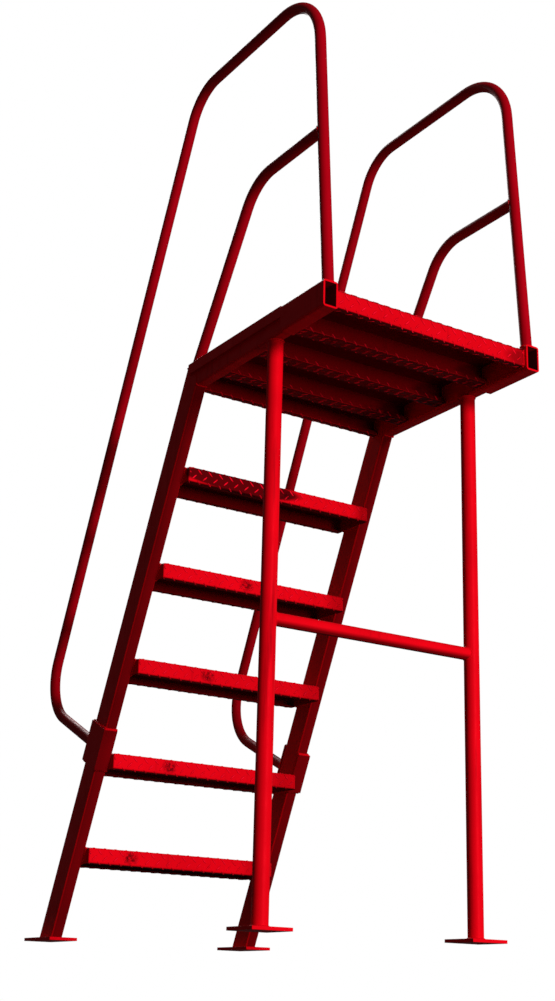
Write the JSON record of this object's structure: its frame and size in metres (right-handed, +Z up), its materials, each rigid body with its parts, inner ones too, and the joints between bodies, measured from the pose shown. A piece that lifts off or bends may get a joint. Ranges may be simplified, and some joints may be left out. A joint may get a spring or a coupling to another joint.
{
  "type": "access stair with platform",
  "caption": "Steep steel stair up to a small platform, with folded chequer-plate treads, bent-tube handrails and tube legs.",
  "frame": {"origin": "centre of the overall footprint, on the floor", "axes": "+Z up; +X across the width, to the right when looking from the platform's open end (-Y) toward the stair; the stair comes down toward +Y"},
  "size_m": [0.882, 1.7213, 2.89],
  "materials": {
    "frame_paint": "gloss",
    "deck_paint": "satin, worn",
    "handrail_paint": "gloss",
    "foot_paint": "satin"
  },
  "bodies": {
    "root": {"rail_front_left": "frame_paint", "rail_front_right": "frame_paint", "rail_rear_left": "frame_paint", "rail_rear_right": "frame_paint", "rail_strip_left": "frame_paint", "rail_strip_right": "frame_paint", "stringer_upper_left": "frame_paint", "stringer_upper_right": "frame_paint", "stringer_lower_left": "frame_paint", "stringer_lower_right": "frame_paint", "stringer_cap_left": "frame_paint", "stringer_cap_right": "frame_paint", "stringer_collar_left": "frame_paint", "stringer_collar_right": "frame_paint", "tread_1": "deck_paint", "tread_2": "deck_paint", "tread_3": "deck_paint", "tread_4": "deck_paint", "tread_5": "deck_paint", "deck_plank_1": "deck_paint", "deck_plank_2": "deck_paint", "deck_plank_3": "deck_paint", "deck_plank_4": "deck_paint", "leg_left": "frame_paint", "leg_right": "frame_paint", "leg_brace": "frame_paint", "handrail_left": "handrail_paint", "handrail_right": "handrail_paint", "mid_rail_left": "handrail_paint", "mid_rail_right": "handrail_paint", "leg_foot_left": "foot_paint", "leg_foot_right": "foot_paint", "stringer_foot_left": "foot_paint", "stringer_foot_right": "foot_paint"}
  },
  "joints": []
}
